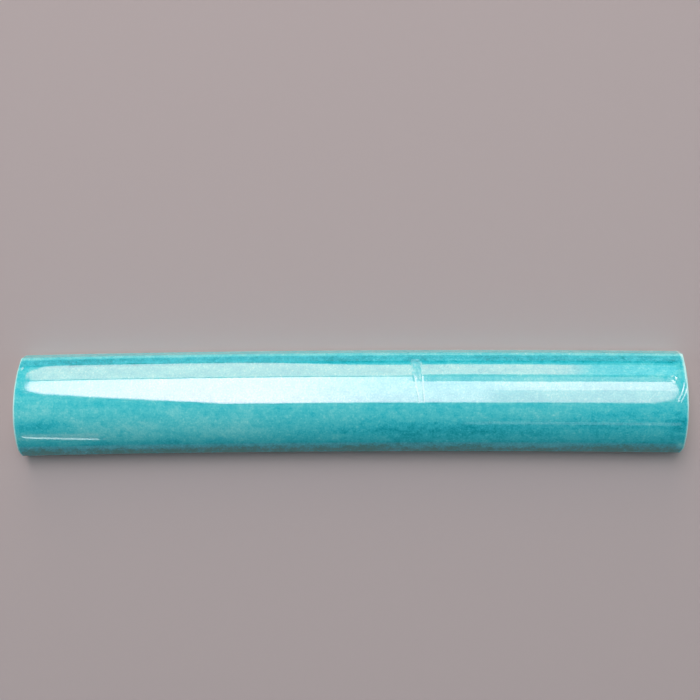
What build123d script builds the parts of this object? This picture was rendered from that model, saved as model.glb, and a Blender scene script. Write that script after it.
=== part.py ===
from build123d import *
import os
from math import asin, degrees, radians, tan

# A half-round ceramic trim tile: a fired clay body under a coat of turquoise glaze.
# Millimetres. X runs along the tile, +Z points out through the crown, and the back beds on Z = 0.
# The origin is the middle of the back's outline.

# Driving dimensions, over the glaze
LENGTH = 152.4  # six inches, from end cut to end cut
WIDTH = 23.7  # across the lower edges of the glaze
THICKNESS = 11.0  # from the back to the top of the crown
SIDE_HEIGHT = 4.6  # from the back to where the crown's arc starts
SIDE_DRAFT = 7.0  # degrees that a side wall leans in, so that the clay leaves its mould
CAMBER = 0.65  # sideways bow from the firing, as the rise of the long edge's arc

# Glaze
GLAZE = 0.45  # thickness of the coat over the crown and the walls
BARE_FOOT = 0.7  # height of clay left bare at the foot, so that the tile doesn't stick in the kiln

# Soft edges
SHOULDER_RADIUS = 1.2  # on the glaze, between a side wall and the crown
GLAZE_END_RADIUS = 0.8  # outer rim of the coat at each end
CLAY_END_RADIUS = 0.6  # rim of the clay at each end, where the coat runs thin

# Keying grooves, pressed along the back to hold the adhesive
GROOVE_COUNT = 3
GROOVE_PITCH = 6.0
GROOVE_MOUTH = 3.2
GROOVE_FLOOR = 2.2
GROOVE_DEPTH = 0.6


def glazed_outline():
    """The cross-section over the glaze, with its walls run on below the back to be cut off later."""
    lean = tan(radians(SIDE_DRAFT))
    below = 2 * GLAZE
    half_shoulder = WIDTH / 2 - (SIDE_HEIGHT - BARE_FOOT) * lean
    half_below = WIDTH / 2 + (BARE_FOOT + below) * lean
    left_shoulder = (-half_shoulder, SIDE_HEIGHT)
    right_shoulder = (half_shoulder, SIDE_HEIGHT)
    crown = ThreePointArc(left_shoulder, (0, THICKNESS), right_shoulder)
    walls = Polyline(right_shoulder, (half_below, -below), (-half_below, -below), left_shoulder)
    outline = make_face(crown + walls)
    shoulders = outline.vertices().sort_by(Axis.Y)[-2:]
    return fillet(shoulders, SHOULDER_RADIUS)


def above(height):
    """A wide rectangle that keeps what lies above the given height."""
    return Pos(0, height + THICKNESS) * Rectangle(2 * WIDTH, 2 * THICKNESS)


def groove_sections():
    """The keying grooves' sections, open at the back."""
    half_mouth = GROOVE_MOUTH / 2
    half_floor = GROOVE_FLOOR / 2
    groove = Polygon(
        (-half_mouth, -GROOVE_DEPTH),
        (half_mouth, -GROOVE_DEPTH),
        (half_mouth, 0),
        (half_floor, GROOVE_DEPTH),
        (-half_floor, GROOVE_DEPTH),
        (-half_mouth, 0),
        align=None,
    )
    middle = (GROOVE_COUNT - 1) / 2
    return [Pos(GROOVE_PITCH * (i - middle), 0) * groove for i in range(GROOVE_COUNT)]


def along_the_tile(section):
    """Carries a section along the cambered length and cuts it square at both ends."""
    radius = LENGTH**2 / (8 * CAMBER) + CAMBER / 2
    bow_axis = Axis((0, CAMBER / 2 - radius, 0), (0, 0, 1))
    overrun = 1.05
    half_turn = overrun * degrees(asin(LENGTH / 2 / (radius - WIDTH)))
    face = Plane.YZ * Pos(CAMBER / 2, 0) * section
    bar = revolve(face.rotate(bow_axis, -half_turn), bow_axis, 2 * half_turn)
    return bar & Box(LENGTH, 3 * WIDTH, 4 * THICKNESS)


def round_the_ends(bar, radius):
    """Rounds the rims of both end cuts, except along the back."""
    by_x = bar.faces().sort_by(Axis.X)
    end_edges = by_x[0].edges() + by_x[-1].edges()
    rims = [edge for edge in end_edges if edge.bounding_box().max.Z > SIDE_HEIGHT / 2]
    return fillet(rims, radius)


over_glaze = glazed_outline()
under_glaze = offset(over_glaze, -GLAZE, kind=Kind.INTERSECTION)

clay = round_the_ends(along_the_tile(under_glaze & above(0)), CLAY_END_RADIUS)
for groove in groove_sections():
    clay -= along_the_tile(groove)

glazed = round_the_ends(along_the_tile(over_glaze & above(BARE_FOOT)), GLAZE_END_RADIUS)
coat = glazed - clay

parts = {"biscuit_body": clay, "glaze_coat": coat}

os.makedirs("parts", exist_ok=True)
for name, shape in parts.items():
    shape.label = name
    export_step(shape, f"parts/{name}.step")
    size = shape.bounding_box().size
    print(name, len(shape.solids()), "solid,", round(shape.volume, 1), "mm3,", size)
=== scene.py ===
"""Looks of a glazed half-round trim tile: its clay body, its coat of glaze, the floor, light and camera.

Metres, in the CAD frame: X along the tile, +Z out through the crown, the back on Z = 0. "Across" is measured
from the tile's middle line towards +Y. The camera sees +Y as the far side and +X as the right end.
"""

from math import asin, cos, pi, radians, sin, tan

import bmesh
import bpy
import numpy as np
from mathutils import Euler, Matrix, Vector, noise


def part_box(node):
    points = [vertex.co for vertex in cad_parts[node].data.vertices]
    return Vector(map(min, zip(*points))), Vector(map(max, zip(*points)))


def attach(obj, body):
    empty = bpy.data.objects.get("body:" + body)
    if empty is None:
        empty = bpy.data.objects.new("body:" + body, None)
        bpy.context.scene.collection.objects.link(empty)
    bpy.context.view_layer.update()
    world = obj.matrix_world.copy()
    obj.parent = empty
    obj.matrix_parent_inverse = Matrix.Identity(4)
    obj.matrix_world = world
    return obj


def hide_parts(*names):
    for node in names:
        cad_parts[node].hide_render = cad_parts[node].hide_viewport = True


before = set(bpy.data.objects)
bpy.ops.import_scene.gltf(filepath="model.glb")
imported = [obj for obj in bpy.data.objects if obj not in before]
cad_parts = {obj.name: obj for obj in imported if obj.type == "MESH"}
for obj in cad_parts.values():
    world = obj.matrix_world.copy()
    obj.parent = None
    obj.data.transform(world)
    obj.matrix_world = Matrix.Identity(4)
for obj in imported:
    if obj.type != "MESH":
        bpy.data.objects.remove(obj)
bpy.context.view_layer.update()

MM = 0.001

# Sizes read from the frame
clay_low, clay_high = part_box("biscuit_body")
coat_low, coat_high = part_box("glaze_coat")
LENGTH = coat_high.x - coat_low.x
THICKNESS = coat_high.z
GLAZE = coat_high.z - clay_high.z
BARE_FOOT = coat_low.z

# Sizes that the boxes don't give, as in the CAD part
CAMBER = 0.65 * MM
SIDE_HEIGHT = 4.6 * MM
SIDE_DRAFT = radians(7)
CLAY_END_RADIUS = 0.6 * MM
GROOVE_COUNT = 3
GROOVE_PITCH = 6.0 * MM
GROOVE_MOUTH = 3.2 * MM
GROOVE_FLOOR = 2.2 * MM
GROOVE_DEPTH = 0.6 * MM
HALF_WIDTH = (coat_high.y - coat_low.y - CAMBER) / 2
HALF_LENGTH = LENGTH / 2

# How soft the edges are, as the reach of the smoothing
SHOULDER_SOFTNESS = 0.22 * MM
FOOT_SOFTNESS = 0.09 * MM
CLAY_SOFTNESS = 0.14 * MM
SHARP_ANGLE = radians(50)  # between two faces, from which their edge is shaded as sharp

# How far the end cuts come in from square by the far side, and the wear of the left one's near corner
LEFT_CUT_SKEW = 0.75 * MM
RIGHT_CUT_SKEW = 0.10 * MM
CORNER_WEAR = 0.65 * MM
CORNER_SHARE = 0.12  # of the tile's width
CUT_REACH = 6 * MM  # how far in from an end the tile is moved to follow its cut

# The glaze's rim at each end, and how far it sags beside the rim
RIM_RADIUS = 0.38 * MM
WALL_RIM = 0.35  # how much of the crown's rounding and sag the side walls have
CROWN_RIM_RISE = 2 * MM  # how far above the walls the rounding and sag are whole
END_SAG = 0.045 * MM
END_SAG_REACH = 2.4 * MM

# Waves in the fired surface: height, size along X, Y and Z, and a seed
SLOW_WAVES = (0.020 * MM, (26 * MM, 7 * MM, 7 * MM), 4.0)
QUICK_WAVES = (0.0035 * MM, (3.5 * MM, 2 * MM, 2 * MM), 9.0)
SURFACE_DROP = 0.012 * MM  # keeps the crests of the waves within the CAD's surface

# A drip in the glaze. Each of its two sides is a place along X at the middle of the crown, in millimetres,
# and a lean
DRIP_SIDES = ((16.0, -0.20), (17.0, -0.07))
DRIP_GROOVE = 0.026 * MM
DRIP_GROOVE_WIDTH = 0.14 * MM
DRIP_GROOVE_FADE = 1.5 * MM  # across, from the middle of the crown
DRIP_ROUGHNESS = 0.13 * MM
DRIP_GRAIN = (0.75 * MM, 0.75 * MM, 0.75 * MM)
DRIP_SEED = 21.0
DRIP_FADE = 0.25 * MM  # along X, inside each side
DRIP_ROUGH = (5.6 * MM, 6.6 * MM, 9.6 * MM, 10.4 * MM)  # across: starts, is whole, still whole and ends

# Ridges in the glaze beside the right end, in millimetres: where each starts and ends along X, then across
RIDGES = (((74.0, 75.9), (1.6, 6.8)), ((74.6, 76.0), (1.3, 4.2)))
RIDGE_BEND = 0.6  # a ridge is straight at 1, and curves more the lower this is
RIDGE_FADE = 0.8  # millimetres across, at each of its ends
RIDGE_HEIGHT = 0.030 * MM
RIDGE_WIDTH = 0.17 * MM

# A burst bubble beside the right end: place along X and across, and the radius of its raised ring
BUBBLE = (73.3 * MM, 6.05 * MM, 0.52 * MM)
BUBBLE_RING = 0.05 * MM
BUBBLE_RING_WIDTH = 0.35  # of its radius, as is the pit's
BUBBLE_PIT = 0.07 * MM
BUBBLE_PIT_WIDTH = 0.5

# A small bead of glaze by the left rim: place along X and across, and radius
BEAD = (-75.25 * MM, 9.2 * MM, 0.32 * MM)
BEAD_HEIGHT = 0.05 * MM

# A corner knocked off the right end: a point on the break and its way out
CHIP_PLACE = Vector((76.15, -10.4, 5.0)) * MM
CHIP_WAY = Vector((0.86, -0.50, 0.05)).normalized()

# The clay's roughness: its height, the size of its grains, a seed, and a drop that keeps it out of the glaze
CLAY_ROUGHNESS = 0.03 * MM
CLAY_GRAIN = (1.6 * MM, 1.1 * MM, 1.1 * MM)
CLAY_SEED = 2.0
CLAY_DROP = 0.6

# The clay's back, which stays smooth, lies below this height and this far inside the foot's edges
BACK_BELOW = 1.02 * GROOVE_DEPTH
BACK_MARGIN = 0.05 * MM

# Mesh spacing around the section
AROUND_COAT = 0.18 * MM
AROUND_COAT_INSIDE = 0.55 * MM
AROUND_CLAY = 0.25 * MM

# Mesh spacing along the tile: how far in from an end a stretch goes, or where it lies, and its steps
RIM_STRETCH = 0.7 * MM
RIM_STEP = 0.06 * MM
END_STRETCH = 3.6 * MM
LEFT_END_STEP = 0.16 * MM
RIGHT_END_STEP = 0.11 * MM  # finer, for the ridges and the bubble
DRIP_STRETCH = (13.4 * MM, 18.0 * MM)
DRIP_STEP = 0.08 * MM
PLAIN_STEP = 0.70 * MM
CLAY_RIM_STRETCH = 0.8 * MM
CLAY_RIM_STEP = 0.1 * MM
CLAY_PLAIN_STEP = 0.9 * MM

# Where the glaze pooled or ran thin, in millimetres: place along X and across, reach along X and across, and
# the change in depth. Depth runs from 0, where there is hardly any glaze, to 1, where it is deepest. The last
# row is no pool but painted shade, which darkens the whole near wall.
PLAIN_DEPTH = 0.5
POOLS_AND_PAINTED_SHADE = (
    (20, -5.6, 28, 2.2, 0.28),
    (60, -5.2, 16, 2.2, 0.16),
    (-70.5, -3.9, 8, 1.7, 0.27),
    (68, -1.8, 12, 1.6, 0.14),
    (74.5, -5.0, 3, 3.0, 0.24),
    (75.2, -9.2, 0.9, 0.8, -0.35),
    (-38, -4.5, 30, 3.2, -0.10),
    (-70, -1.0, 8, 2.0, -0.06),
    # Painted shade, not a pool: darker glaze colour all along the near wall
    (0, -11.0, 300, 2.3, 0.50),
)

# Thin glaze at the end rims. On the right one the thin band grows broader towards the far side
EDGE_THINNING = 0.75
EDGE_REACH = 0.42 * MM
BROAD_RIM = 0.35 * MM
BROAD_RIM_ACROSS = 12 * MM

# Thin glaze beside the chip's break
BREAK_THINNING = 0.8
BREAK_REACH = 0.20 * MM

# Across the far shoulder: pooling starts, is whole, still whole and ends, and beyond it the glaze is thin
SHOULDER_BAND = (9.0 * MM, 9.5 * MM, 10.7 * MM, 10.95 * MM)
SHOULDER_POOLING = 0.24
SHOULDER_THINNING = 0.13

# Thin glaze above the bare foot, on the far wall and on the near one. On the near wall it reaches higher as a
# painted reflection: a pale line along that foot.
FOOT_THINNING_AND_PAINTED_REFLECTION = 0.6
FAR_FOOT_REACH = 0.35 * MM
NEAR_FOOT_REACH_WITH_PAINTED_REFLECTION = 1.0 * MM


# ---------------------------------------------------------------- sections


def rise(value, low, high):
    """0 below low, 1 above high, and straight between."""
    return np.clip((value - low) / (high - low), 0.0, 1.0)


def resample(points, spacing):
    """The same path with evenly spaced points."""
    lengths = np.hypot(*np.diff(points, axis=0).T)
    at = np.concatenate([[0.0], np.cumsum(lengths)])
    want = np.linspace(0.0, at[-1], max(2, round(at[-1] / spacing)) + 1)
    return np.column_stack([np.interp(want, at, points[:, k]) for k in (0, 1)])


def soften(points, reach):
    """The path with its corners rounded, and its two ends where they were."""
    points_in_reach = 4
    spacing = reach / points_in_reach
    fine = resample(points, spacing)
    count = 3 * points_in_reach
    weights = np.exp(-0.5 * (np.arange(-count, count + 1) * spacing / reach) ** 2)
    weights /= weights.sum()
    padded = np.pad(fine, ((count, count), (0, 0)), mode="reflect", reflect_type="odd")
    return np.column_stack([np.convolve(padded[:, k], weights, mode="valid") for k in (0, 1)])


def outward(points):
    """Each point's way out of the tile, which never leans below the side wall's own."""
    along = np.gradient(points, axis=0)
    tilt = np.arctan2(-along[:, 1], along[:, 0])
    tilt = np.clip(-tilt, -pi / 2 + SIDE_DRAFT, pi / 2 - SIDE_DRAFT)
    return np.column_stack([-np.sin(tilt), np.cos(tilt)])


def arch():
    """The glaze's section, from its lower edge at -Y over the crown to the one at +Y."""
    half_shoulder = HALF_WIDTH - (SIDE_HEIGHT - BARE_FOOT) * tan(SIDE_DRAFT)
    crown_height = THICKNESS - SIDE_HEIGHT
    radius = (half_shoulder**2 + crown_height**2) / (2 * crown_height)
    reach = asin(half_shoulder / radius)
    arc_points = 200
    turn = np.linspace(-reach, reach, arc_points)
    crown = np.column_stack([radius * np.sin(turn), THICKNESS - radius + radius * np.cos(turn)])
    feet = np.array([[-HALF_WIDTH, BARE_FOOT], [HALF_WIDTH, BARE_FOOT]])
    return soften(np.vstack([feet[:1], crown, feet[1:]]), SHOULDER_SOFTNESS)


def coat_outside(over):
    """The coat's outer path, with its rounded lower edges turned in to the clay."""
    tuck = np.array([[GLAZE / cos(SIDE_DRAFT), 0.0]])
    path = np.vstack([over[:1] + tuck, over, over[-1:] - tuck])
    return resample(soften(path, FOOT_SOFTNESS), AROUND_COAT)


def clay_arch(over):
    """The clay's crown and walls, one glaze thickness in, and run down to the back."""
    under = over - GLAZE * outward(over)
    drop = under[0, 1] * tan(SIDE_DRAFT)
    low = np.array([[under[0, 0] - drop, 0.0], [under[-1, 0] + drop, 0.0]])
    return np.vstack([low[:1], under, low[1:]])


def clay_back(half_foot):
    """The clay's back with its keying grooves, from +Y to -Y."""
    points = [(half_foot, 0.0)]
    middle = (GROOVE_COUNT - 1) / 2
    for i in reversed(range(GROOVE_COUNT)):
        y = GROOVE_PITCH * (i - middle)
        points += [
            (y + GROOVE_MOUTH / 2, 0.0),
            (y + GROOVE_FLOOR / 2, GROOVE_DEPTH),
            (y - GROOVE_FLOOR / 2, GROOVE_DEPTH),
            (y - GROOVE_MOUTH / 2, 0.0),
        ]
    return np.array(points + [(-half_foot, 0.0)])


# ---------------------------------------------------------------- along the tile


def middle_line(x):
    """Where the tile's middle runs, sideways: the bow that the firing left."""
    return CAMBER * (0.5 - (x / HALF_LENGTH) ** 2)


def stations(spacing):
    """Places along the tile from one end to the other, spaced as the function says."""
    places = [-HALF_LENGTH]
    while places[-1] < HALF_LENGTH:
        places.append(places[-1] + spacing(places[-1]))
    places = np.array(places)
    return places * LENGTH / (places[-1] - places[0]) - (places[-1] + places[0]) / 2


def fillet_fall(inset, radius):
    """How far a rounded rim has fallen at a distance in from the end."""
    short = np.clip(radius - inset, 0.0, radius)
    return radius - np.sqrt(radius**2 - short**2)


def end_inset(x, y):
    """How far the hand-cut ends stand in from square, inside the full length."""
    share = np.clip(y / (2 * HALF_WIDTH) + 0.5, 0.0, 1.0)
    cut = np.where(x < 0, LEFT_CUT_SKEW, RIGHT_CUT_SKEW) * share**2
    cut += (x < 0) * CORNER_WEAR * np.clip(1 - share / CORNER_SHARE, 0.0, 1.0) ** 2
    fade = np.clip(1 - (HALF_LENGTH - np.abs(x)) / CUT_REACH, 0.0, 1.0)
    return cut * fade


def wander(x, y, z, size, seed):
    """Smooth noise from about -1 to 1, with features of the given size along X, Y and Z."""
    return noise.noise(Vector((x / size[0] + seed, y / size[1], z / size[2])))


def tube(name, places, section_at):
    """A closed piece: the loop of points that section_at gives at each place, joined up and capped."""
    loops = [section_at(x) for x in places]
    count = len(loops[0])
    vertices = [tuple(point) for loop in loops for point in loop]
    faces = []
    for i in range(len(places) - 1):
        a, b = i * count, (i + 1) * count
        for j in range(count):
            k = (j + 1) % count
            faces.append((a + j, b + j, b + k, a + k))
    last = (len(places) - 1) * count
    faces.append(tuple(range(count)))
    faces.append(tuple(reversed(range(last, last + count))))
    mesh = bpy.data.meshes.new(name)
    mesh.from_pydata(vertices, [], faces)
    bm = bmesh.new()
    bm.from_mesh(mesh)
    bmesh.ops.triangulate(bm, faces=[f for f in bm.faces if len(f.verts) > 4])
    bmesh.ops.recalc_face_normals(bm, faces=bm.faces)
    bm.to_mesh(mesh)
    bm.free()
    mesh.shade_smooth()
    mesh.set_sharp_from_angle(angle=SHARP_ANGLE)
    piece = bpy.data.objects.new(name, mesh)
    bpy.context.scene.collection.objects.link(piece)
    return piece


# ---------------------------------------------------------------- the coat of glaze


def coat_spacing(x):
    """Fine at the rims and over the drip, coarser along the plain stretches."""
    inset = HALF_LENGTH - abs(x)
    if inset < RIM_STRETCH:
        return RIM_STEP
    if inset < END_STRETCH:
        return RIGHT_END_STEP if x > 0 else LEFT_END_STEP
    if DRIP_STRETCH[0] < x < DRIP_STRETCH[1]:
        return DRIP_STEP
    return PLAIN_STEP


def drip_sides(y):
    """Where the drip's two sides cross the crown, along X."""
    return [place * MM + lean * y for place, lean in DRIP_SIDES]


def drip_rough(x, y):
    """How rough the drip is, from 0 to 1: rough between its sides, on the far shoulder."""
    left, right = drip_sides(y)
    starts, whole, still_whole, ends = DRIP_ROUGH
    between = rise(x, left, left + DRIP_FADE) * rise(-x, -right, DRIP_FADE - right)
    return between * rise(y, starts, whole) * rise(-y, -ends, -still_whole)


def drip(x, y, z):
    """A drip that ran over the crown: a fine groove down each side, and roughness between them."""
    fade = rise(y, 0.0, DRIP_GROOVE_FADE)
    grooves = sum(np.exp(-(((x - side) / DRIP_GROOVE_WIDTH) ** 2)) for side in drip_sides(y))
    bumps = wander(x, y, z, DRIP_GRAIN, DRIP_SEED)
    return DRIP_ROUGHNESS * drip_rough(x, y) * bumps - DRIP_GROOVE * fade * grooves


def ridges(x, y):
    """Low ridges where the glaze crept back from the right end, each along a curve in to the crown."""
    height = 0.0
    for (x_in, x_out), (y_in, y_out) in RIDGES:
        run = rise(y / MM, y_in, y_out)
        line = (x_in + (x_out - x_in) * run**RIDGE_BEND) * MM
        fade = rise(y / MM, y_in - RIDGE_FADE, y_in) * rise(-y / MM, -y_out, RIDGE_FADE - y_out)
        height += RIDGE_HEIGHT * fade * np.exp(-(((x - line) / RIDGE_WIDTH) ** 2))
    return height


def bubble(x, y):
    """A burst bubble: a small pit with a raised ring."""
    place, across, radius = BUBBLE
    away = np.hypot(x - place, y - across) / radius
    ring = BUBBLE_RING * np.exp(-(((away - 1) / BUBBLE_RING_WIDTH) ** 2))
    return ring - BUBBLE_PIT * np.exp(-((away / BUBBLE_PIT_WIDTH) ** 2))


def bead(x, y):
    """A small bead of glaze by the left rim."""
    place, across, radius = BEAD
    away = np.hypot(x - place, y - across) / radius
    return BEAD_HEIGHT * np.exp(-(away**2))


def coat_relief(x, y, z):
    """The fired surface's height over the plain section."""
    waves = sum(height * wander(x, y, z, size, seed) for height, size, seed in (SLOW_WAVES, QUICK_WAVES))
    marks = drip(x, y, z) + ridges(x, y) + bubble(x, y) + bead(x, y)
    return waves + marks - SURFACE_DROP


def make_coat(over):
    """The coat as a closed shell, wrapped round the clay's crown and walls."""
    outside = coat_outside(over)
    out_way = outward(outside)
    inside = resample(clay_arch(over)[1:-1], AROUND_COAT_INSIDE)[::-1]
    # This path runs from +Y to -Y, so outward gives each point's way almost level to the tile's middle. That
    # leaves the inside up to one clay rim radius off the clay's rounded rim, within that radius of each end.
    to_middle = outward(inside)
    on_crown = rise(outside[:, 1], SIDE_HEIGHT, SIDE_HEIGHT + CROWN_RIM_RISE)
    rim_share = WALL_RIM + (1 - WALL_RIM) * on_crown

    def section(x):
        inset = HALF_LENGTH - abs(x)
        sag = END_SAG * max(0.0, 1 - inset / END_SAG_REACH) ** 2
        fall = (fillet_fall(inset, RIM_RADIUS) + sag) * rim_share
        relief = np.array([coat_relief(x, y, z) for y, z in outside])
        outer = outside + out_way * (relief - fall)[:, None]
        inner = inside + to_middle * fillet_fall(inset, CLAY_END_RADIUS)
        loop = np.vstack([outer, inner])
        along = np.full(len(loop), x)
        along -= np.sign(x) * end_inset(along, loop[:, 0])
        return np.column_stack([along, loop[:, 0] + middle_line(x), loop[:, 1]])

    return tube("glaze_shell", stations(coat_spacing), section)


# ---------------------------------------------------------------- the clay body


def clay_spacing(x):
    """Fine at the rims, coarser in between."""
    inset = HALF_LENGTH - abs(x)
    return CLAY_RIM_STEP if inset < CLAY_RIM_STRETCH else CLAY_PLAIN_STEP


def make_clay(over):
    """The clay body, with its keyed back."""
    arch_path = clay_arch(over)
    half_foot = arch_path[-1, 0]
    loop_path = np.vstack([arch_path, clay_back(half_foot)[1:-1]])
    top_of_crown = len(arch_path) // 2
    ring = np.roll(loop_path, -top_of_crown, axis=0)
    path = soften(np.vstack([ring, ring[:1]]), CLAY_SOFTNESS)
    path = resample(path, AROUND_CLAY)[:-1]
    on_back = path[:, 1] < BACK_BELOW
    on_back &= np.abs(path[:, 0]) < half_foot - BACK_MARGIN
    way = outward(path)
    way[on_back] = np.column_stack([path[on_back, 0] / half_foot, np.zeros(on_back.sum())])

    def section(x):
        fall = fillet_fall(HALF_LENGTH - abs(x), CLAY_END_RADIUS)
        bumps = np.array([wander(x, y, z, CLAY_GRAIN, CLAY_SEED) for y, z in path])
        rough = CLAY_ROUGHNESS * (bumps - CLAY_DROP) * ~on_back
        loop = path + way * (rough - fall)[:, None]
        along = np.full(len(loop), x)
        along -= np.sign(x) * end_inset(along, loop[:, 0])
        return np.column_stack([along, loop[:, 0] + middle_line(x), loop[:, 1]])

    return tube("clay_body", stations(clay_spacing), section)


def knock_off(piece, place, way):
    """Breaks the corner off a closed piece, along a plane, and closes it again."""
    bm = bmesh.new()
    bm.from_mesh(piece.data)
    everything = bm.verts[:] + bm.edges[:] + bm.faces[:]
    cut = bmesh.ops.bisect_plane(bm, geom=everything, plane_co=place, plane_no=way, clear_outer=True)
    rim = [part for part in cut["geom_cut"] if isinstance(part, bmesh.types.BMEdge)]
    cap = bmesh.ops.triangle_fill(bm, edges=rim, use_beauty=True, use_dissolve=False)
    for part in cap["geom"]:
        if isinstance(part, bmesh.types.BMFace):
            part.smooth = False
    bmesh.ops.recalc_face_normals(bm, faces=bm.faces)
    bm.to_mesh(piece.data)
    bm.free()
    piece.data.set_sharp_from_angle(angle=SHARP_ANGLE)


def glaze_depth_and_painted_light(points, across):
    """How deep the glaze lies at each point: more where it pooled, and little by an edge. Painted light is
    mixed in: painted shade darkens the near wall, and a painted reflection pales its foot.
    """
    x, _, z = points.T
    depth = np.full(len(x), PLAIN_DEPTH)
    for place_x, place_across, reach_x, reach_across, change in POOLS_AND_PAINTED_SHADE:
        far_x = (x / MM - place_x) / reach_x
        far_across = (across / MM - place_across) / reach_across
        depth += change * np.exp(-(far_x**2 + far_across**2))
    inset = HALF_LENGTH - np.abs(x) - end_inset(x, across)
    reach = EDGE_REACH + BROAD_RIM * rise(across, 0.0, BROAD_RIM_ACROSS) * (x > 0)
    depth -= EDGE_THINNING * np.exp(-((inset / reach) ** 4))
    behind = (points - np.array(CHIP_PLACE)) @ np.array(CHIP_WAY)
    depth -= BREAK_THINNING * np.exp(-((behind / BREAK_REACH) ** 2))
    starts, whole, still_whole, ends = SHOULDER_BAND
    beyond = rise(across, still_whole, ends)
    depth += SHOULDER_POOLING * rise(across, starts, whole) * (1 - beyond)
    depth -= SHOULDER_THINNING * beyond
    # The near wall's wider reach is a painted reflection: a pale line along that foot, beyond the thin glaze
    # there
    reach = np.where(across < 0, NEAR_FOOT_REACH_WITH_PAINTED_REFLECTION, FAR_FOOT_REACH)
    return depth - FOOT_THINNING_AND_PAINTED_REFLECTION * np.exp(-(((z - BARE_FOOT) / reach) ** 2))


def add_glaze_marks(piece):
    """Stores at each point of the coat how deep the glaze lies and how rough it is, for its material. The
    depth also carries painted shade on the near wall and a painted reflection at its foot.
    """
    points = np.empty(len(piece.data.vertices) * 3)
    piece.data.vertices.foreach_get("co", points)
    points = points.reshape(-1, 3)
    x, y, _ = points.T
    across = y - middle_line(x)
    marks = (("glaze_depth_and_painted_light", glaze_depth_and_painted_light(points, across)), ("glaze_rough", drip_rough(x, across)))
    for name, values in marks:
        piece.data.attributes.new(name, "FLOAT", "POINT").data.foreach_set("value", values)


over = arch()
coat = make_coat(over)
clay = make_clay(over)
for piece in (coat, clay):
    knock_off(piece, CHIP_PLACE, CHIP_WAY)
add_glaze_marks(coat)
for piece, node, finish in ((coat, "glaze_coat", "glaze"), (clay, "biscuit_body", "biscuit")):
    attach(piece, "root")
    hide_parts(node)


# ---------------------------------------------------------------- materials


def new_material(name):
    """A material, its node tree and its shader."""
    material = bpy.data.materials.new(name)
    material.use_nodes = True
    tree = material.node_tree
    return material, tree, tree.nodes["Principled BSDF"]


def feed(tree, value, socket):
    """Links a socket's value on, or sets a plain one."""
    if isinstance(value, bpy.types.NodeSocket):
        tree.links.new(value, socket)
    else:
        socket.default_value = value


def calc(tree, operation, *values):
    """The result of a Math node."""
    node = tree.nodes.new("ShaderNodeMath")
    node.operation = operation
    for value, socket in zip(values, node.inputs):
        feed(tree, value, socket)
    return node.outputs[0]


def step(tree, value, low, high):
    """0 below low, 1 above high, and smooth between."""
    node = tree.nodes.new("ShaderNodeMapRange")
    node.interpolation_type = "SMOOTHSTEP"
    node.inputs["From Min"].default_value = low
    node.inputs["From Max"].default_value = high
    feed(tree, value, node.inputs["Value"])
    return node.outputs["Result"]


def spread(tree, value, low, high):
    """The usual run of a noise, from 0.3 to 0.7, spread over the range from low to high."""
    node = tree.nodes.new("ShaderNodeMapRange")
    node.inputs["From Min"].default_value = 0.3
    node.inputs["From Max"].default_value = 0.7
    node.inputs["To Min"].default_value = low
    node.inputs["To Max"].default_value = high
    feed(tree, value, node.inputs["Value"])
    return node.outputs["Result"]


def colour_ramp(tree, value, stops):
    """A ramp through (place, colour) stops."""
    node = tree.nodes.new("ShaderNodeValToRGB")
    elements = node.color_ramp.elements
    while len(elements) < len(stops):
        elements.new(0.5)
    for element, (place, colour) in zip(elements, stops):
        element.position = place
        element.color = (*colour, 1)
    feed(tree, value, node.inputs["Fac"])
    return node.outputs["Color"]


def grain(tree, size, detail=2.0, roughness=0.5):
    """Noise with grains of a size in metres, or of three sizes along X, Y and Z."""
    sizes = size if isinstance(size, tuple) else (size, size, size)
    place = tree.nodes.new("ShaderNodeTexCoord")
    mapping = tree.nodes.new("ShaderNodeMapping")
    mapping.inputs["Scale"].default_value = [1 / s for s in sizes]
    tree.links.new(place.outputs["Object"], mapping.inputs["Vector"])
    node = tree.nodes.new("ShaderNodeTexNoise")
    node.inputs["Scale"].default_value = 1.0
    node.inputs["Detail"].default_value = detail
    node.inputs["Roughness"].default_value = roughness
    tree.links.new(mapping.outputs["Vector"], node.inputs["Vector"])
    return node.outputs["Fac"]


def attribute(tree, name):
    """A value that is stored at the mesh's points."""
    node = tree.nodes.new("ShaderNodeAttribute")
    node.attribute_name = name
    return node.outputs["Fac"]


def bump(tree, height, depth):
    """A bump of the given depth in metres for a height from 0 to 1."""
    node = tree.nodes.new("ShaderNodeBump")
    node.inputs["Strength"].default_value = 1.0
    node.inputs["Distance"].default_value = depth
    tree.links.new(height, node.inputs["Height"])
    return node.outputs["Normal"]


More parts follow.
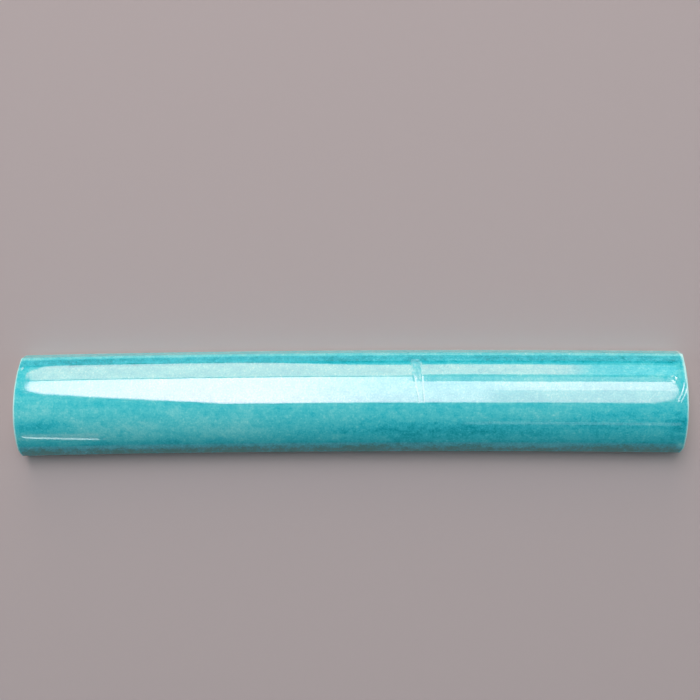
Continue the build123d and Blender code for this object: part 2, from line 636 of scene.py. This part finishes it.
def glaze_material():
    """Glossy turquoise glass, darker the deeper it lies, and broken up by grains of several sizes. The stored
    depth also holds painted shade on the near wall and a painted reflection at its foot.
    """
    material, tree, shader = new_material("turquoise_glaze")
    speckle = 0.40 * MM
    mottle = 1.5 * MM
    cloud = (9 * MM, 4 * MM, 4 * MM)
    streak = (22 * MM, 0.7 * MM, 0.7 * MM)
    fleck = 0.55 * MM
    # The stored depth holds painted shade along the near wall and a painted reflection at its foot
    depth = attribute(tree, "glaze_depth_and_painted_light")
    for size, change in ((speckle, 0.10), (mottle, 0.09), (cloud, 0.08), (streak, 0.03)):
        depth = calc(tree, "ADD", depth, spread(tree, grain(tree, size), low=-change, high=change))
    flecks = step(tree, grain(tree, fleck, detail=1.0), low=0.58, high=0.72)
    fleck_change = -0.14
    depth = calc(tree, "ADD", depth, calc(tree, "MULTIPLY", flecks, fleck_change))
    colours = (
        (0.0, (0.38, 0.95, 0.96)),
        (0.20, (0.18, 0.80, 0.83)),
        (0.45, (0.075, 0.68, 0.75)),
        (0.65, (0.025, 0.58, 0.69)),
        (0.85, (0.002, 0.42, 0.52)),
        (1.0, (0.001, 0.27, 0.27)),
    )
    tree.links.new(colour_ramp(tree, depth, colours), shader.inputs["Base Color"])
    drip_dullness = 0.45
    dull = calc(tree, "MULTIPLY", attribute(tree, "glaze_rough"), drip_dullness)
    plain = spread(tree, grain(tree, 2.5 * MM), low=0.025, high=0.06)
    tree.links.new(calc(tree, "ADD", dull, plain), shader.inputs["Roughness"])
    ripple = bump(tree, grain(tree, 1.1 * MM, detail=0.0), depth=0.0015 * MM)
    tree.links.new(ripple, shader.inputs["Normal"])
    shader.inputs["IOR"].default_value = 1.8
    return material


def clay_material():
    """Bare fired clay: buff, dull and gritty."""
    material, tree, shader = new_material("fired_clay")
    grit = grain(tree, 0.35 * MM, detail=4.0, roughness=0.7)
    tone = calc(tree, "ADD", grit, spread(tree, grain(tree, 6 * MM), low=-0.10, high=0.10))
    colours = (
        (0.25, (0.46, 0.37, 0.28)),
        (0.42, (0.68, 0.59, 0.48)),
        (0.60, (0.78, 0.70, 0.59)),
        (0.80, (0.86, 0.81, 0.73)),
    )
    tree.links.new(colour_ramp(tree, tone, colours), shader.inputs["Base Color"])
    pits = bump(tree, grain(tree, 0.30 * MM, detail=4.0, roughness=0.7), depth=0.06 * MM)
    tree.links.new(pits, shader.inputs["Normal"])
    shader.inputs["Roughness"].default_value = 0.92
    return material


coat.data.materials.append(glaze_material())
clay.data.materials.append(clay_material())


# ---------------------------------------------------------------- floor, light and camera

LIGHT_DISTANCE = 1.2  # of each softbox's middle from the tile

# How soft the outline of a light's face and of the dimmer boxes on it are
CORNER_BLUR = 0.3  # in the squared share of a rounded corner's reach
BOX_BLUR = 0.012  # up the face
BOX_START_BLUR = 0.05  # along the face

STRAIGHT_EDGES = ((0.0, 0.0, 0.0), (0.0, 0.0, 0.0))


def make_floor():
    """A plain pale floor under the tile's back."""
    mesh = bpy.data.meshes.new("floor")
    half = 1.5
    corners = [(-half, -half, 0), (half, -half, 0), (half, half, 0), (-half, half, 0)]
    mesh.from_pydata(corners, [], [(0, 1, 2, 3)])
    floor = bpy.data.objects.new("floor", mesh)
    bpy.context.scene.collection.objects.link(floor)
    material, _, shader = new_material("pale_floor")
    shader.inputs["Base Color"].default_value = (0.31, 0.39, 0.40, 1)
    shader.inputs["Roughness"].default_value = 0.85
    mesh.materials.append(material)


def area_light(name, place, turn, width, height):
    """A soft rectangular light, of radiance 1 until its face says more."""
    lamp = bpy.data.lights.new(name, "AREA")
    lamp.shape = "RECTANGLE"
    lamp.size = width
    lamp.size_y = height
    lamp.energy = pi * width * height
    lamp.use_nodes = True
    lamp_object = bpy.data.objects.new(name, lamp)
    lamp_object.location = place
    lamp_object.rotation_euler = turn
    lamp_object.visible_camera = False
    bpy.context.scene.collection.objects.link(lamp_object)
    return lamp.node_tree


def softbox(name, lean, sides):
    """A light over the tile. Seen from the tile it spans the two angles of lean, in degrees from straight up
    towards +Y, and sides are the places along X of its left and right edges."""
    low, high = (radians(angle) for angle in lean)
    left, right = sides
    middle = (low + high) / 2
    place = ((left + right) / 2, LIGHT_DISTANCE * sin(middle), LIGHT_DISTANCE * cos(middle))
    height = 2 * LIGHT_DISTANCE * tan((high - low) / 2)
    return area_light(name, place, Euler((-middle, 0, 0)), right - left, height)


def fill_light(name, place, size):
    """A square light anywhere, turned to the tile."""
    turn = (-Vector(place)).to_track_quat("-Z", "Y").to_euler()
    return area_light(name, place, turn, size, size)


def plain_face(tree, radiance):
    """A face that shines the same all over."""
    emission = tree.nodes["Emission"]
    emission.inputs["Color"].default_value = (*radiance, 1)


def corner(tree, from_side, from_end, reach):
    """1 on a face and 0 outside its side, its end and the rounded corner between them. reach is how far the
    rounding goes, in from the side and in from the end."""
    total = 0.0
    for distance, size in zip((from_side, from_end), reach):
        short = calc(tree, "MAXIMUM", calc(tree, "MULTIPLY_ADD", distance, -1 / size, 1.0), 0.0)
        total = calc(tree, "MULTIPLY_ADD", short, short, total)
    return step(tree, calc(tree, "SUBTRACT", 1.0, total), 0.0, CORNER_BLUR)


def dimmed(tree, shine, along, up, box):
    """shine, lessened inside a box that runs on to the face's right edge: where it starts along the face, its
    lower and upper edges, and how much of the shine is left in it."""
    start, low, high, share = box
    above = step(tree, up, low, low + BOX_BLUR)
    below = step(tree, up, high, high - BOX_BLUR)
    inside = calc(tree, "MULTIPLY", above, below)
    inside = calc(tree, "MULTIPLY", inside, step(tree, along, start, start + BOX_START_BLUR))
    return calc(tree, "MULTIPLY", shine, calc(tree, "MULTIPLY_ADD", inside, share - 1, 1.0))


def graded_face(tree, colours, corners, edges=STRAIGHT_EDGES, cut=None, drop=None, boxes=(), from_cut=False):
    """A face with graded colours and an outline of its own. Places on it run from 0 to 1, from its left and
    from its bottom.

    colours: stops from left to right, or with from_cut up from the bottom and the cut.
    corners: the reaches of its left and right rounded corners, at the bottom, or at the top if drop is given.
    edges: how far in its left and right edges stand, each at the bottom, at the top and at most.
    cut: a corner masked off at the lower left: how far it goes along the bottom and up the left edge.
    drop: lowers the upper edge towards the right: from where, to where and by how much.
    boxes: its dimmer parts, each as dimmed takes it.
    """
    geometry = tree.nodes.new("ShaderNodeNewGeometry")
    split = tree.nodes.new("ShaderNodeSeparateXYZ")
    tree.links.new(geometry.outputs["Parametric"], split.inputs[0])
    along, up = split.outputs[0], split.outputs[1]
    from_end = up
    if cut:
        cut_along, cut_up = cut
        line = calc(tree, "MULTIPLY_ADD", along, -cut_up / cut_along, cut_up)
        from_end = calc(tree, "MINIMUM", up, calc(tree, "SUBTRACT", up, line))
    graded = from_end if from_cut else along
    if drop:
        starts, ends, fall = drop
        lowered = calc(tree, "MULTIPLY", step(tree, along, starts, ends), fall)
        from_end = calc(tree, "SUBTRACT", calc(tree, "SUBTRACT", 1.0, up), lowered)
    shine = 1.0
    sides = (along, calc(tree, "SUBTRACT", 1.0, along))
    for side, reach, (bottom, top, most) in zip(sides, corners, edges):
        edge = calc(tree, "MULTIPLY_ADD", up, top - bottom, bottom)
        from_side = calc(tree, "SUBTRACT", side, calc(tree, "MINIMUM", edge, most))
        shine = calc(tree, "MULTIPLY", shine, corner(tree, from_side, from_end, reach))
    for box in boxes:
        shine = dimmed(tree, shine, along, up, box)
    emission = tree.nodes["Emission"]
    tree.links.new(colour_ramp(tree, graded, colours), emission.inputs["Color"])
    tree.links.new(shine, emission.inputs["Strength"])


def make_world():
    """Faint bluish light from all round."""
    world = bpy.data.worlds.new("studio")
    world.use_nodes = True
    background = world.node_tree.nodes["Background"]
    background.inputs["Color"].default_value = (0.85, 0.95, 1.0, 1)
    background.inputs["Strength"].default_value = 0.07
    bpy.context.scene.world = world


def make_window():
    """Two softboxes, one above the other, that the crown mirrors as the two panes of a window. Their edges,
    cut, drop and boxes give the panes their outlines."""
    high_colours = (
        (0.0, (7.6, 5.3, 5.4)),
        (0.13, (8.3, 5.5, 5.5)),
        (0.30, (9.4, 5.7, 5.7)),
        (0.42, (9.1, 5.6, 5.6)),
        (0.56, (6.4, 4.6, 4.7)),
        (0.68, (5.8, 4.3, 4.4)),
        (0.78, (6.6, 4.4, 4.2)),
        (1.0, (6.6, 4.4, 4.2)),
    )
    graded_face(
        softbox("high_softbox", lean=(-2.4, 52), sides=(-0.465, 0.375)),
        high_colours,
        corners=((0.02, 0.15), (0.030, 0.50)),
        edges=((0.149, 0.0155, 1.0), (0.0345, 0.0, 0.0173)),
        cut=(0.336, 0.655),
        boxes=((0.59, 0.786, 1.2, 0.2), (0.69, -0.2, 0.49, 0.68)),
    )
    low_colours = (
        (0.0, (4.5, 2.25, 1.7)),
        (0.82, (4.5, 2.25, 1.7)),
        (0.86, (1.1, 1.1, 1.2)),
        (1.0, (0.3, 0.9, 1.2)),
    )
    graded_face(
        softbox("low_softbox", lean=(53.7, 88.2), sides=(-0.434, 0.378)),
        low_colours,
        corners=((0.016, 0.28), (0.04, 0.10)),
        edges=((0.011, 0.034, 0.0225), (0.0, 0.0, 0.0)),
        drop=(0.32, 0.56, 0.235),
        boxes=((0.575, -0.2, 0.10, 0.2),),
    )


def make_glints():
    """The short glint near the left end, and a faint streak on the right half of the near side."""
    strip_colours = (
        (0.0, (4.2, 4.2, 4.1)),
        (0.14, (4.2, 4.2, 4.1)),
        (0.22, (0.6, 0.3, 0.2)),
        (1.0, (0.5, 0.3, 0.2)),
    )
    graded_face(
        softbox("strip_light", lean=(-77, -58), sides=(-0.404, -0.300)),
        strip_colours,
        corners=((0.05, 0.03), (0.05, 0.03)),
        cut=(1.15, 0.60),
        from_cut=True,
    )
    faint = softbox("faint_strip", lean=(-46, -40), sides=(0.10, 0.36))
    plain_face(faint, (0.5, 0.45, 0.45))


def make_fills():
    """A fill light beyond each end."""
    out, back, up = 1.25, 0.15, 0.45
    for name, side in (("left_fill", -1), ("right_fill", 1)):
        fill = fill_light(name, place=(out * side, back, up), size=0.8)
        plain_face(fill, (1.5, 1.5, 1.5))


def make_camera():
    """A camera almost straight above the tile."""
    camera = bpy.data.cameras.new("camera")
    camera.sensor_width = 36.0
    camera.lens = 67.2
    camera_object = bpy.data.objects.new("camera", camera)
    camera_object.location = (6.98 * MM, 28.0 * MM, 303.32 * MM)
    camera_object.rotation_euler = Euler((radians(-3.003), radians(1.259), radians(-0.457)))
    bpy.context.scene.collection.objects.link(camera_object)
    bpy.context.scene.camera = camera_object


make_floor()
make_world()
make_window()
make_glints()
make_fills()
make_camera()
bpy.context.scene.view_settings.view_transform = "Standard"
